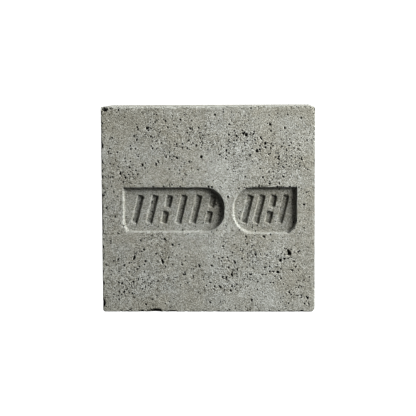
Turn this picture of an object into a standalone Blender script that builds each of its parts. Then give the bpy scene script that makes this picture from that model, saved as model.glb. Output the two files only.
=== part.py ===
"""A cast concrete padstone: the block that spreads the load of a beam or lintel over a wall.

It is one solid casting. Its marked face has two sunk panels side by side, with a row of shallow
slanted strokes sunk into the floor of each. A broken corner, chipped arrises and the largest air
holes are cut out of it. Lengths are metres and +Z is up. The marked face looks along -Y, and the
origin is the middle of the underside. Run it with: blender --background --python part.py
"""

import math
from collections import namedtuple

import bmesh
import bpy
from mathutils import Matrix

# The block
BLOCK_WIDTH = 0.215
BLOCK_DEPTH = 0.102
BLOCK_HEIGHT = 0.208

# The rounding of its four corners, seen from the marked face, and of its front and back rims
UPPER_LEFT_RADIUS = 0.0022
UPPER_RIGHT_RADIUS = 0.0034
LOWER_RIGHT_RADIUS = 0.0048
LOWER_LEFT_RADIUS = 0.0030
RIM_RADIUS = 0.0015
RIM_STEPS = 3

# The sunk panels. The long one takes the width that the margins, the gap and the short one leave.
LEFT_MARGIN = 0.0218
RIGHT_MARGIN = 0.0178
PANEL_GAP = 0.0087
SHORT_PANEL_WIDTH = 0.0647
PANEL_HEIGHT = 0.0454
SHORT_PANEL_DROP = 0.0014
PANEL_DEPTH = 0.0052
PANEL_DRAFT = 0.0012
WORN_CORNER_WIDTH = 0.0030
WORN_CORNER_HEIGHT = 0.0090
ROUND_END_RADIUS = 0.0205
SPLAY_WIDTH = 0.0100
SPLAY_HEIGHT = 0.0135

# The strokes sunk into a panel's floor. They lean to the right, and every third one is broken in two.
STROKE_WIDTH = 0.0066
STROKE_DEPTH = 0.0026
STROKE_DRAFT = 0.0008
STROKE_CORNER_RADIUS = 0.0015
STROKE_SLANT = math.radians(14)
STROKE_PITCH = 0.014
STROKE_BREAK = 0.0042
STROKE_HEAD_ROOM = 0.0076
STROKE_SIDE_ROOM = 0.0068
BROKEN_EVERY = 3

# How finely round shapes are cut into straight steps, for each quarter turn
PANEL_CORNER_STEPS = 10
SMALL_CORNER_STEPS = 4
BALL_STEPS = 2

CUT_OVERLAP = 0.001
MERGE_DISTANCE = 0.00001
FLAT_ANGLE = math.radians(0.5)
RIM_ANGLE = math.radians(60)
SHARP_ANGLE = math.radians(35)

CONCRETE_COLOUR = (0.30, 0.30, 0.27, 1.0)
CONCRETE_ROUGHNESS = 0.9

LEFT = -1
RIGHT = 1

# A hollow in the marked face. Its middle lies inwards from the nearer side of the block and so far
# from its head or foot, and the lean is in degrees to the right.
Hollow = namedtuple("Hollow", "name side inwards end from_end half_width half_height half_depth lean")

HOLLOWS = [
    Hollow("broken_corner", LEFT, 0.0040, "head", 0.0022, 0.0029, 0.0026, 0.0034, 0),
    Hollow("head_chip", LEFT, 0.0098, "head", 0.0013, 0.0014, 0.0012, 0.0022, 0),
    Hollow("upper_left_chip", LEFT, 0.0002, "head", 0.0390, 0.0014, 0.0040, 0.0024, 0),
    Hollow("upper_left_nick", LEFT, 0.0002, "head", 0.0553, 0.0013, 0.0017, 0.0022, 0),
    Hollow("middle_left_chip", LEFT, 0.0001, "head", 0.1040, 0.0011, 0.0052, 0.0024, 0),
    Hollow("lower_left_nick", LEFT, 0.0002, "foot", 0.0294, 0.0014, 0.0019, 0.0022, 0),
    Hollow("left_foot_chip", LEFT, 0.0004, "foot", 0.0088, 0.0023, 0.0042, 0.0030, 0),
    Hollow("foot_bite", LEFT, 0.0398, "foot", 0.0001, 0.0019, 0.0021, 0.0024, 0),
    Hollow("foot_notch", LEFT, 0.0532, "foot", 0.0002, 0.0066, 0.0032, 0.0038, 0),
    Hollow("shallow_foot_notch", LEFT, 0.0702, "foot", 0.0001, 0.0054, 0.0016, 0.0024, 0),
    Hollow("right_foot_bite", RIGHT, 0.0137, "foot", 0.0001, 0.0018, 0.0018, 0.0024, 0),
    Hollow("right_nick", RIGHT, 0.0003, "foot", 0.0181, 0.0015, 0.0022, 0.0026, 0),
    Hollow("low_right_air_hole", RIGHT, 0.0263, "foot", 0.0600, 0.0022, 0.0029, 0.0034, -14),
    Hollow("high_right_air_hole", RIGHT, 0.0692, "head", 0.0288, 0.0015, 0.0020, 0.0026, 15),
    Hollow("high_right_small_hole", RIGHT, 0.0586, "head", 0.0451, 0.0016, 0.0016, 0.0024, 0),
    Hollow("middle_air_hole", LEFT, 0.1007, "head", 0.0508, 0.0014, 0.0016, 0.0022, 0),
    Hollow("low_left_air_hole", LEFT, 0.0610, "foot", 0.0513, 0.0012, 0.0026, 0.0022, -16),
    Hollow("far_left_air_hole", LEFT, 0.0323, "foot", 0.0554, 0.0012, 0.0028, 0.0022, 14),
]

Panel = namedtuple("Panel", "name left width height corners round_side")

# A corner of an outline: a quarter of an ellipse of this width and height, in so many straight steps
Corner = namedtuple("Corner", "width height steps")

SQUARE_CORNER = Corner(0, 0, 0)


def clear_scene():
    for obj in list(bpy.data.objects):
        bpy.data.objects.remove(obj)


def new_collection(name):
    collection = bpy.data.collections.new(name)
    bpy.context.scene.collection.children.link(collection)
    return collection


def concrete():
    material = bpy.data.materials.new("concrete")
    material.use_nodes = True
    shader = material.node_tree.nodes["Principled BSDF"]
    shader.inputs["Base Color"].default_value = CONCRETE_COLOUR
    shader.inputs["Roughness"].default_value = CONCRETE_ROUGHNESS
    shader.inputs["Metallic"].default_value = 0.0
    material.diffuse_color = CONCRETE_COLOUR
    return material


def round_corner(radius, steps):
    return Corner(radius, radius, steps)


def rounded_outline(width, height, corners):
    """Points (x, z) round a rectangle about the origin, anticlockwise from its lower right corner.

    The corners are the lower right, upper right, upper left and lower left ones. One step makes a
    straight splay, and no steps a square corner.
    """
    points = []
    ways = [(1, -1), (1, 1), (-1, 1), (-1, -1)]
    for turn, ((across, up), corner) in enumerate(zip(ways, corners)):
        centre_x = across * (width / 2 - corner.width)
        centre_z = up * (height / 2 - corner.height)
        start = math.radians(90) * (turn - 1)
        for step in range(corner.steps + 1):
            angle = start + math.radians(90) * step / max(corner.steps, 1)
            x = centre_x + corner.width * math.cos(angle)
            z = centre_z + corner.height * math.sin(angle)
            if not points or math.dist(points[-1], (x, z)) > MERGE_DISTANCE:
                points.append((x, z))
    return points


def outline_curve(name, outline, thickness):
    """A filled flat curve through the outline's points, as thick as asked, lying in the XY plane."""
    curve = bpy.data.curves.new(name, "CURVE")
    curve.dimensions = "2D"
    curve.fill_mode = "BOTH"
    curve.extrude = thickness / 2
    spline = curve.splines.new("POLY")
    spline.points.add(len(outline) - 1)
    for point, (x, z) in zip(spline.points, outline):
        point.co = (x, z, 0, 1)
    spline.use_cyclic_u = True
    return bpy.data.objects.new(name, curve)


def upright_prism(name, outline, thickness):
    """The outline as a closed mesh stood upright, its thickness running along Y on both sides of 0."""
    drawn = outline_curve(name, outline, thickness)
    drawn.rotation_euler.x = math.radians(90)
    bpy.context.scene.collection.objects.link(drawn)
    bpy.context.view_layer.update()
    evaluated = drawn.evaluated_get(bpy.context.evaluated_depsgraph_get())
    loose = bpy.data.meshes.new_from_object(evaluated)
    bm = bmesh.new()
    bm.from_mesh(loose)
    bm.transform(drawn.matrix_world)
    bpy.data.objects.remove(drawn)
    bpy.data.meshes.remove(loose)
    bmesh.ops.remove_doubles(bm, verts=bm.verts[:], dist=MERGE_DISTANCE)
    bmesh.ops.dissolve_limit(bm, angle_limit=FLAT_ANGLE, verts=bm.verts[:], edges=bm.edges[:])
    return bm


def object_from(bm, name, collection):
    bmesh.ops.recalc_face_normals(bm, faces=bm.faces[:])
    mesh = bpy.data.meshes.new(name)
    bm.to_mesh(mesh)
    bm.free()
    obj = bpy.data.objects.new(name, mesh)
    collection.objects.link(obj)
    return obj


def cutter_from(bm, name, collection):
    cutter = object_from(bm, name, collection)
    cutter.hide_render = True
    cutter.display_type = "WIRE"
    return cutter


def sunk_cutter(name, width, height, corners, depth, draft, collection):
    """A cutter for a hollow of this outline, with walls that lean in by the draft over its depth.

    Its mouth lies at y = 0. The leaning walls begin a little before it, where the outline is wider
    by their flare, so that no edge of the cutter lies in the surface that it cuts.
    """
    flare = draft * CUT_OVERLAP / depth
    flared = [
        Corner(corner.width + flare, corner.height + flare, corner.steps) if corner.steps else corner
        for corner in corners
    ]
    outline = rounded_outline(width + 2 * flare, height + 2 * flare, flared)
    bm = upright_prism(name, outline, CUT_OVERLAP)
    bmesh.ops.translate(bm, verts=bm.verts[:], vec=(0, -1.5 * CUT_OVERLAP, 0))
    floor = max(bm.faces, key=lambda face: face.calc_center_median().y)
    bmesh.ops.inset_region(bm, faces=[floor], thickness=draft + flare, use_even_offset=True)
    bmesh.ops.translate(bm, verts=floor.verts[:], vec=(0, depth + CUT_OVERLAP, 0))
    return cutter_from(bm, name, collection)


def padstone_block(collection):
    """The block: its outline seen from the front, as thick as its depth, with both rims rounded."""
    radii = (LOWER_RIGHT_RADIUS, UPPER_RIGHT_RADIUS, UPPER_LEFT_RADIUS, LOWER_LEFT_RADIUS)
    corners = [round_corner(radius, SMALL_CORNER_STEPS) for radius in radii]
    outline = rounded_outline(BLOCK_WIDTH, BLOCK_HEIGHT, corners)
    block = object_from(upright_prism("padstone", outline, BLOCK_DEPTH), "padstone", collection)
    block.location.z = BLOCK_HEIGHT / 2
    rims = block.modifiers.new("rounded rims", "BEVEL")
    rims.limit_method = "ANGLE"
    rims.angle_limit = RIM_ANGLE
    rims.width = RIM_RADIUS
    rims.segments = RIM_STEPS
    block.data.shade_smooth()
    block.data.set_sharp_from_angle(angle=SHARP_ANGLE)
    block.data.materials.append(concrete())
    return block


def panels():
    """The two panels, each square at the head of its outer end and round at the end by the other one.

    The foot of each outer end is splayed. The long one ends in a half circle. The short one reaches
    a little lower, and its round end is flatter.
    """
    left = LEFT_MARGIN - BLOCK_WIDTH / 2
    short_left = BLOCK_WIDTH / 2 - RIGHT_MARGIN - SHORT_PANEL_WIDTH
    long_width = short_left - PANEL_GAP - left
    half_circle = round_corner(PANEL_HEIGHT / 2, PANEL_CORNER_STEPS)
    worn = Corner(WORN_CORNER_WIDTH, WORN_CORNER_HEIGHT, 1)
    flatter = round_corner(ROUND_END_RADIUS, PANEL_CORNER_STEPS)
    splay = Corner(SPLAY_WIDTH, SPLAY_HEIGHT, 1)
    return [
        Panel(
            "long_panel", left, long_width, PANEL_HEIGHT,
            (half_circle, half_circle, SQUARE_CORNER, worn), RIGHT,
        ),
        Panel(
            "short_panel", short_left, SHORT_PANEL_WIDTH, PANEL_HEIGHT + SHORT_PANEL_DROP,
            (splay, SQUARE_CORNER, flatter, flatter), LEFT,
        ),
    ]


def cut_panels(collection):
    """Both panels' heads are level."""
    for panel in panels():
        cutter = sunk_cutter(
            panel.name, panel.width, panel.height, panel.corners,
            PANEL_DEPTH, PANEL_DRAFT, collection,
        )
        middle_z = BLOCK_HEIGHT / 2 + (PANEL_HEIGHT - panel.height) / 2
        cutter.location = (panel.left + panel.width / 2, -BLOCK_DEPTH / 2, middle_z)


def stroke_middles(panel):
    """Where a panel's strokes stand: about the pitch apart, filling its width with room at the ends.

    At the round end the room is measured where a half circle is as narrow as at the strokes' head.
    """
    end_radius = PANEL_HEIGHT / 2
    rise = end_radius - STROKE_HEAD_ROOM
    narrowing = end_radius - math.sqrt(end_radius**2 - rise**2)
    half_spread = rise * math.tan(STROKE_SLANT) + STROKE_WIDTH / 2 / math.cos(STROKE_SLANT)
    first = panel.left + STROKE_SIDE_ROOM + half_spread
    last = panel.left + panel.width - STROKE_SIDE_ROOM - half_spread
    side_room_kept = STROKE_SIDE_ROOM - PANEL_DRAFT
    if panel.round_side == LEFT:
        first += narrowing - side_room_kept
    else:
        last -= narrowing - side_room_kept
    gaps = max(1, round((last - first) / STROKE_PITCH))
    return [first + (last - first) * index / gaps for index in range(gaps + 1)]


def stroke_pieces(broken):
    """The (middle, length) of each piece along a stroke, counted from the stroke's own middle."""
    rise = PANEL_HEIGHT - 2 * STROKE_HEAD_ROOM
    length = (rise - STROKE_WIDTH * math.sin(STROKE_SLANT)) / math.cos(STROKE_SLANT)
    if not broken:
        return [(0, length)]
    half = (length - STROKE_BREAK) / 2
    return [(-(half + STROKE_BREAK) / 2, half), ((half + STROKE_BREAK) / 2, half)]


def cut_strokes(collection):
    corners = [round_corner(STROKE_CORNER_RADIUS, SMALL_CORNER_STEPS)] * 4
    floor_y = PANEL_DEPTH - BLOCK_DEPTH / 2
    for panel in panels():
        for number, stroke_x in enumerate(stroke_middles(panel), start=1):
            for along, length in stroke_pieces(number % BROKEN_EVERY == 0):
                cutter = sunk_cutter(
                    "stroke", STROKE_WIDTH, length, corners,
                    STROKE_DEPTH, STROKE_DRAFT, collection,
                )
                x = stroke_x + along * math.sin(STROKE_SLANT)
                z = BLOCK_HEIGHT / 2 + along * math.cos(STROKE_SLANT)
                cutter.location = (x, floor_y, z)
                cutter.rotation_euler.y = STROKE_SLANT


def cut_hollows(collection):
    """A stretched ball for each hollow, half sunk into the marked face."""
    for hollow in HOLLOWS:
        bm = bmesh.new()
        bmesh.ops.create_icosphere(bm, subdivisions=BALL_STEPS, radius=1)
        half_sizes = (hollow.half_width, hollow.half_depth, hollow.half_height)
        bmesh.ops.scale(bm, verts=bm.verts[:], vec=half_sizes)
        lean = Matrix.Rotation(math.radians(hollow.lean), 3, "Y")
        bmesh.ops.rotate(bm, verts=bm.verts[:], matrix=lean)
        cutter = cutter_from(bm, hollow.name, collection)
        x = hollow.side * (BLOCK_WIDTH / 2 - hollow.inwards)
        z = hollow.from_end if hollow.end == "foot" else BLOCK_HEIGHT - hollow.from_end
        cutter.location = (x, -BLOCK_DEPTH / 2, z)


def cut_away(block, cutters):
    boolean = block.modifiers.new(cutters.name, "BOOLEAN")
    boolean.operation = "DIFFERENCE"
    boolean.operand_type = "COLLECTION"
    boolean.collection = cutters


def main():
    clear_scene()
    block = padstone_block(new_collection("padstone"))
    for name, make_cutters in (
        ("panel cutters", cut_panels),
        ("stroke cutters", cut_strokes),
        ("hollow cutters", cut_hollows),
    ):
        cutters = new_collection(name)
        make_cutters(cutters)
        cut_away(block, cutters)


main()
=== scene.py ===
import math
from collections import namedtuple

import bpy
import numpy as np
from mathutils import Matrix, Vector


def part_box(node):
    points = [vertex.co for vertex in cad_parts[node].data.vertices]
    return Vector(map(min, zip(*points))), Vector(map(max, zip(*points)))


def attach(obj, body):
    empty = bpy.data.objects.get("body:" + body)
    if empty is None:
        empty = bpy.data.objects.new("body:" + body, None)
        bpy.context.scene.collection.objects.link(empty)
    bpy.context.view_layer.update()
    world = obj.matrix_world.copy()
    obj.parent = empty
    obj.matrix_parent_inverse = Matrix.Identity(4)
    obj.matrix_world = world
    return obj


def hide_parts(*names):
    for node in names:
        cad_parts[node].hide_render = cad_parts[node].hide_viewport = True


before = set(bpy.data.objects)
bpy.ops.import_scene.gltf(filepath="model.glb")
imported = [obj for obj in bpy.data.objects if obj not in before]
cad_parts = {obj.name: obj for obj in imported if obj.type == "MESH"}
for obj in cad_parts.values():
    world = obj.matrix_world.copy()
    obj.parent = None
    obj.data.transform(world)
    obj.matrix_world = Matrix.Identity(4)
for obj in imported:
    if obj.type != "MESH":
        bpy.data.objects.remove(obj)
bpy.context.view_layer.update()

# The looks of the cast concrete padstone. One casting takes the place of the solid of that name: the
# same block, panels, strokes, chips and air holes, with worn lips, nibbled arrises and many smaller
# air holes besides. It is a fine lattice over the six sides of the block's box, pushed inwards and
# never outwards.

BOX_LOW, BOX_HIGH = (np.array(corner, dtype=float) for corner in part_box("padstone"))
BOX_SIZE = BOX_HIGH - BOX_LOW
BOX_MIDDLE = (BOX_LOW + BOX_HIGH) / 2
HALF_SIZE = BOX_SIZE / 2

MM = 0.001
ACROSS, INTO, UP = 0, 1, 2

# The rounding of the block's four corners, seen from the marked face, and of its two rims, which are
# crisper than the solid's
UPPER_LEFT_RADIUS = 2.2 * MM
UPPER_RIGHT_RADIUS = 3.4 * MM
LOWER_RIGHT_RADIUS = 4.8 * MM
LOWER_LEFT_RADIUS = 3.0 * MM
RIM_RADIUS = 0.8 * MM

# The two sunk panels. They are the solid's, but the short one's right wall stands 0.6 mm further in,
# and the long one's round end is as flat as the short one's
LEFT_MARGIN = 21.8 * MM
RIGHT_MARGIN = 18.4 * MM
PANEL_GAP = 8.7 * MM
SHORT_PANEL_WIDTH = 64.1 * MM
PANEL_HEIGHT = 45.4 * MM
SHORT_PANEL_DROP = 1.4 * MM
PANEL_DEPTH = 5.2 * MM
PANEL_DRAFT = 1.2 * MM
ROUND_END_RADIUS = 20.5 * MM
LIP_WEAR = 0.45 * MM

# The cuts across the foot of each panel's outer end, as widths and heights. The solid has one plain
# cut at each, and the short panel's is rounder here
WORN_FOOT = [(3.8 * MM, 8.2 * MM)]
SPLAYED_FOOT = [(4.7 * MM, 11.6 * MM), (8.4 * MM, 7.6 * MM)]

# The strokes in the panels' floors
STROKE_WIDTH = 6.6 * MM
STROKE_DEPTH = 2.6 * MM
STROKE_DRAFT = 0.8 * MM
STROKE_CORNER_RADIUS = 1.5 * MM
STROKE_SLANT = math.radians(14)
STROKE_PITCH = 14 * MM
STROKE_BREAK = 4.2 * MM
STROKE_HEAD_ROOM = 7.6 * MM
STROKE_SIDE_ROOM = 6.8 * MM
BROKEN_EVERY = 3

# The lattice: its widest cell is halved up to three times where the relief asks for it
WIDEST_CELL = 3.7 * MM
HALVINGS = 3
FINE_STEPS = 2**HALVINGS
WIDEST_CELLS = np.round(BOX_SIZE / WIDEST_CELL).astype(int)
FINE_CELLS = WIDEST_CELLS * FINE_STEPS
FINE_CELL = BOX_SIZE / FINE_CELLS

# Where it is halved: how near an arris, how far outside and inside the outlines of the panels and the
# strokes, and how far from a hollow's middle, as a share of its half size and a length besides
ARRIS_BAND = 0.9 * MM
MARKED_EDGE_BAND = 2.2 * MM
PLAIN_EDGE_BAND = 1.2 * MM
PANEL_BAND = (-0.8 * MM, PANEL_DRAFT + 0.5 * MM)
STROKE_BAND = (-0.6 * MM, STROKE_DRAFT + 0.4 * MM)
HOLLOW_BAND_SHARE = 1.15
HOLLOW_BAND = 0.3 * MM

# A side of the block's box: the axis that it faces along, which way, and its own two axes
Side = namedtuple("Side", "facing outwards first second")
MARKED_FACE = Side(INTO, -1, ACROSS, UP)
BACK = Side(INTO, 1, UP, ACROSS)
RIGHT_END = Side(ACROSS, 1, INTO, UP)
LEFT_END = Side(ACROSS, -1, UP, INTO)
HEAD = Side(UP, 1, ACROSS, INTO)
FOOT = Side(UP, -1, INTO, ACROSS)
SIDES = [MARKED_FACE, BACK, RIGHT_END, LEFT_END, HEAD, FOOT]

# Hollows of the marked face, as (x, z, half width, half height, depth) in millimetres and the lean in
# degrees. The large ones are the solid's too, which has the air hole at the lower right as one and
# not two. The small ones are air holes and nibbles that only show up close
LARGE_HOLLOWS = [
    (-103.5, 205.8, 2.9, 2.6, 3.4, 0), (-97.7, 206.7, 1.4, 1.2, 2.2, 0),
    (-107.3, 169.0, 1.4, 4.0, 2.4, 0), (-107.3, 152.7, 1.3, 1.7, 2.2, 0),
    (-107.4, 104.0, 1.1, 5.2, 2.4, 0), (-107.3, 29.4, 1.4, 1.9, 2.2, 0),
    (-107.1, 8.8, 2.3, 4.2, 3.0, 0), (-67.7, 0.1, 1.9, 2.1, 2.4, 0),
    (-54.3, 0.2, 6.6, 3.2, 3.8, 0), (-37.3, 0.1, 5.4, 1.6, 2.4, 0),
    (93.8, 0.1, 1.8, 1.8, 2.4, 0), (107.2, 18.1, 1.5, 2.2, 2.6, 0),
    (81.5, 59.4, 2.1, 2.0, 3.0, 0), (80.6, 61.4, 1.1, 2.5, 2.2, -14),
    (38.3, 179.2, 1.5, 2.0, 2.6, 15),
    (48.9, 162.9, 1.6, 1.6, 2.4, 0), (-6.8, 157.2, 1.4, 1.6, 2.2, 0),
    (-46.5, 51.3, 1.2, 2.6, 2.2, -16), (-75.2, 55.4, 1.2, 2.8, 2.2, 14),
]
SMALL_HOLLOWS = [
    (-61.2, 186.2, 1.4, 1.5, 2.4, 0), (-71.4, 174.8, 0.9, 1.2, 2.1, 30),
    (-91.2, 162.2, 0.9, 0.9, 1.7, 0), (-66.1, 149.3, 1.1, 1.5, 2.2, -25),
    (-52.4, 150.0, 0.8, 1.9, 1.8, 0), (-50.1, 152.7, 0.7, 1.5, 1.6, -35),
    (-88.4, 140.5, 1.1, 1.2, 2.1, -30), (-83.2, 136.7, 0.9, 1.3, 1.8, -30),
    (-11.9, 168.9, 1.0, 1.0, 1.9, 0), (-17.3, 185.4, 0.8, 0.9, 1.6, 0),
    (-31.6, 156.9, 0.9, 0.8, 1.6, 0), (19.8, 117.0, 1.1, 1.1, 2.1, 0),
    (35.4, 180.6, 1.3, 1.5, 2.2, -40), (53.3, 175.6, 0.7, 2.5, 1.7, -35),
    (57.4, 170.5, 1.4, 1.4, 2.4, 0), (62.2, 189.6, 1.4, 1.4, 2.4, 0),
    (76.9, 185.9, 1.0, 1.0, 1.9, 0), (93.0, 195.9, 0.9, 0.9, 1.7, 0),
    (21.3, 189.7, 1.1, 0.8, 1.7, 0), (42.3, 158.8, 0.9, 1.3, 1.8, 25),
    (75.2, 137.3, 0.8, 1.5, 1.7, -30), (37.9, 76.6, 0.9, 1.3, 1.8, -20),
    (55.9, 76.7, 1.3, 1.1, 2.2, 20), (47.5, 58.4, 1.1, 1.5, 2.1, 20),
    (14.6, 67.0, 0.9, 0.9, 1.7, 0), (20.3, 45.3, 0.9, 0.9, 1.7, 0),
    (23.5, 37.8, 1.1, 2.0, 2.1, -15), (14.1, 35.6, 1.1, 1.1, 1.8, 0),
    (17.8, 35.4, 1.2, 0.9, 1.8, 0), (70.0, 40.4, 1.5, 1.4, 2.4, 20),
    (72.5, 52.4, 1.5, 1.7, 2.5, -30), (76.5, 54.1, 1.3, 1.2, 2.2, 20),
    (84.4, 42.3, 1.1, 1.2, 1.8, -20), (57.9, 38.0, 0.9, 0.7, 1.6, 0),
    (81.5, 20.0, 1.1, 1.2, 1.8, -20), (99.9, 14.2, 1.2, 1.3, 2.2, -30),
    (43.5, 11.8, 0.8, 1.8, 1.7, -20), (-36.3, 68.5, 1.1, 1.2, 1.8, -25),
    (-91.5, 53.7, 1.2, 0.9, 2.1, 0), (-26.8, 48.2, 0.9, 1.2, 1.8, -20),
    (-9.3, 46.7, 1.1, 1.2, 1.8, 20), (-91.2, 30.0, 1.2, 0.9, 2.1, 20),
    (-76.2, 30.8, 1.2, 0.9, 1.8, 20), (-63.8, 7.7, 1.2, 0.9, 1.8, 30),
    (-45.1, 127.5, 0.8, 0.9, 1.5, 0), (-28.4, 127.5, 0.9, 0.9, 1.5, 0),
    (-38.7, 127.9, 0.7, 0.7, 1.3, 0), (0.3, 127.3, 1.2, 1.0, 1.6, 0), (3.6, 127.0, 1.2, 1.0, 1.6, 0),
    (50.9, 127.3, 0.9, 0.9, 1.5, 0), (53.9, 127.8, 0.8, 0.8, 1.4, 0), (81.8, 127.3, 1.1, 0.8, 1.6, 0),
    (38.6, 125.4, 1.0, 0.9, 1.6, 30), (-55.6, 127.4, 1.6, 0.7, 1.4, 0),
    (-59.8, 0.3, 3.0, 1.5, 2.0, 0), (9.8, 0.4, 1.3, 1.1, 1.6, 0), (18.9, 0.4, 1.1, 1.0, 1.5, 0),
    (39.1, 0.3, 1.5, 1.2, 1.7, 0),
    (50.7, 0.4, 1.0, 1.0, 1.4, 0), (61.6, 0.3, 1.2, 1.1, 1.6, 0), (71.0, 0.4, 1.4, 1.1, 1.6, 0),
    (83.0, 0.3, 2.4, 0.9, 1.3, 0), (-34.3, 0.3, 1.2, 1.0, 1.5, 0), (-83.0, 0.3, 2.6, 0.8, 1.2, 0),
    (-107.1, 66.3, 1.3, 1.6, 1.8, 0), (-107.2, 143.1, 1.0, 1.4, 1.5, 0),
    (-107.2, 137.2, 1.0, 1.3, 1.4, 0), (-107.2, 118.3, 0.9, 2.2, 1.5, 0),
    (-107.2, 82.0, 0.8, 2.6, 1.3, 0), (-107.2, 55.0, 1.0, 1.5, 1.4, 0),
    (-107.2, 41.2, 0.9, 1.8, 1.4, 0), (49.9, 207.7, 1.2, 1.0, 1.5, 0),
    (55.8, 207.6, 1.1, 1.0, 1.4, 0), (107.2, 200.0, 1.0, 1.6, 1.4, 0),
    (107.3, 189.0, 0.9, 1.2, 1.2, 0), (107.2, 24.6, 1.0, 1.6, 1.4, 0),
]

# The least air holes with a place of their own, as (x, z, half width) in millimetres. The shares give
# a pore's half width, half height and depth
PORE_SHARES = (1.1, 1.2, 2.2)
PORES = [
    (79.7, 199.4, 0.7), (-42.5, 193.4, 0.9), (-40.3, 186.9, 0.8), (-27.7, 194.6, 0.9),
    (-74.0, 178.4, 0.8), (-57.3, 177.6, 0.9), (20.9, 179.6, 0.9), (63.0, 183.1, 0.8),
    (-77.8, 165.5, 0.8), (-55.7, 166.1, 0.8), (-31.6, 170.2, 0.8), (-25.8, 166.5, 0.8),
    (-19.2, 173.8, 0.8), (25.9, 170.1, 0.62), (28.9, 173.9, 0.7), (47.9, 170.2, 0.62),
    (-42.2, 157.2, 0.8), (-38.8, 161.6, 0.7), (-38.5, 157.9, 0.8), (17.5, 155.4, 0.8),
    (18.4, 163.5, 0.9), (60.6, 159.9, 0.7), (67.8, 156.8, 0.7), (70.2, 155.7, 0.7), (-79.3, 146.6, 0.9),
    (-63.5, 146.2, 0.7), (-18.9, 152.3, 0.8), (70.6, 149.9, 0.7), (75.1, 147.1, 0.8),
    (94.0, 154.0, 0.7), (-28.9, 143.8, 0.62), (-10.1, 144.5, 0.7), (19.7, 144.4, 0.62),
    (71.4, 130.5, 0.8), (62.4, 78.7, 0.8), (-68.5, 72.6, 0.8), (-29.8, 68.7, 0.7), (43.7, 72.9, 0.62),
    (-65.2, 63.9, 0.9), (24.0, 60.2, 0.7), (58.6, 57.5, 0.7), (90.5, 61.1, 0.8), (-85.5, 47.3, 0.9),
    (-64.0, 51.6, 0.9), (26.7, 49.9, 0.8), (88.0, 45.9, 0.8), (-80.7, 40.9, 0.8), (-24.0, 40.4, 0.7),
    (45.1, 44.4, 0.7), (54.0, 38.1, 0.7), (61.9, 41.3, 0.9), (65.6, 41.2, 0.8), (-21.2, 29.9, 0.7),
    (-5.2, 33.0, 0.62), (6.1, 25.8, 0.8), (11.1, 25.8, 0.7), (23.7, 25.9, 0.8), (73.1, 34.3, 0.8),
    (90.9, 25.2, 0.7), (-90.9, 20.5, 0.8), (93.5, 17.0, 0.7), (-39.7, 10.3, 0.7), (80.8, 8.9, 0.7),
]

# Air holes thrown at random over each side, as (side, number, seed, smallest radius, largest radius).
# They keep clear of the arrises, and one is up to 1.6 times as long as wide and 2.2 times as deep
SCATTERED_HOLLOWS = [
    (MARKED_FACE, 200, 41, 0.42 * MM, 0.98 * MM), (BACK, 90, 42, 0.7 * MM, 1.9 * MM),
    (RIGHT_END, 60, 43, 0.6 * MM, 1.8 * MM), (LEFT_END, 60, 44, 0.6 * MM, 1.8 * MM),
    (HEAD, 60, 45, 0.6 * MM, 1.5 * MM), (FOOT, 40, 46, 0.7 * MM, 1.6 * MM),
]
TRIES_PER_HOLLOW = 4
ARRIS_ROOM = 1.2 * MM
HOLLOW_STRETCHES = (1.0, 1.6)
HOLLOW_DEPTH_SHARES = (1.5, 2.2)

# Soft patches of the marked face, as (x, z, half width, half height) in millimetres, the lean in
# degrees and how strong each is: paler or darker cement, and where the air holes crowd or are few
TONE_PATCHES = [
    (14, 146, 14, 22, 25, 1.0), (34, 168, 16, 10, 0, 0.45), (18, 104, 6, 30, 0, 0.95),
    (86, 204, 24, 6, 0, -1.4), (4, 62, 10, 22, 0, 0.6), (58, 60, 12, 14, 30, 0.45),
    (38, 28, 14, 20, 40, 0.5), (62, 12, 16, 10, 0, 0.6), (-72, 190, 26, 11, 55, -0.5),
    (-75, 57, 10, 14, 0, -0.8), (-60, 8, 18, 12, 0, -0.5), (84, 28, 14, 14, 0, -0.6),
    (-86, 136, 18, 8, 0, -0.4), (18.5, 104, 4, 20, 0, 0.4), (-78, 34, 30, 30, 0, 0.5),
    (-8, 34, 30, 34, 0, 0.2), (102, 104, 6, 90, 0, -0.5), (-104, 104, 3, 90, 0, 0.4),
    (12, 131.5, 20, 2.5, 0, 0.5),
]
CROWDED_PATCHES = [
    (-61, 182, 8, 7, 0, 0.7), (-80, 140, 18, 8, 60, 0.7), (-40, 160, 26, 8, 62, 0.7),
    (10, 172, 40, 14, 0, 0.45), (36, 182, 14, 9, 40, 0.5), (80, 148, 18, 10, -40, 0.75),
    (66, 186, 26, 16, 0, -0.35), (-71, 57, 10, 9, 0, 0.6), (-46, 50, 8, 16, 0, 0.7),
    (24, 36, 14, 12, 0, 0.8), (48, 58, 10, 9, 0, 0.8), (78, 58, 10, 8, 0, 0.7),
    (68, 42, 16, 7, 70, 0.6), (-60, 26, 22, 10, 0, 0.35), (14, 142, 12, 14, 0, -0.9),
    (-86, 186, 12, 12, 0, -0.8), (-50, 138, 16, 8, -30, -0.8), (78, 132, 12, 5, 0, -0.3),
    (0, 66, 10, 14, 0, -0.7), (76, 74, 10, 8, 0, -0.6), (-30, 14, 30, 8, 0, -0.6),
    (50, 12, 30, 8, 0, -0.5), (103, 100, 5, 60, 0, -0.5),
    (-88, 135, 18, 8, 0, 0.5), (72, 200, 12, 7, 0, -0.4), (50, 143, 10, 8, 0, -0.5),
    (-14, 157, 8, 7, 0, -0.3),
]

# The patches fade out between these depths behind the marked face
HIDDEN_FROM = 4 * MM
HIDDEN_TO = 14 * MM

# How many fewer the air holes are in the panels and on the other sides, where a panel's share sets
# in, and the amounts at which they are fewest and most
FEWER_IN_PANELS = 0.7
FEWER_BEHIND = 0.3
IN_PANEL = (-0.5 * MM, 1.5 * MM)
CROWDING_RANGE = (-0.6, 0.9)

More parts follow.
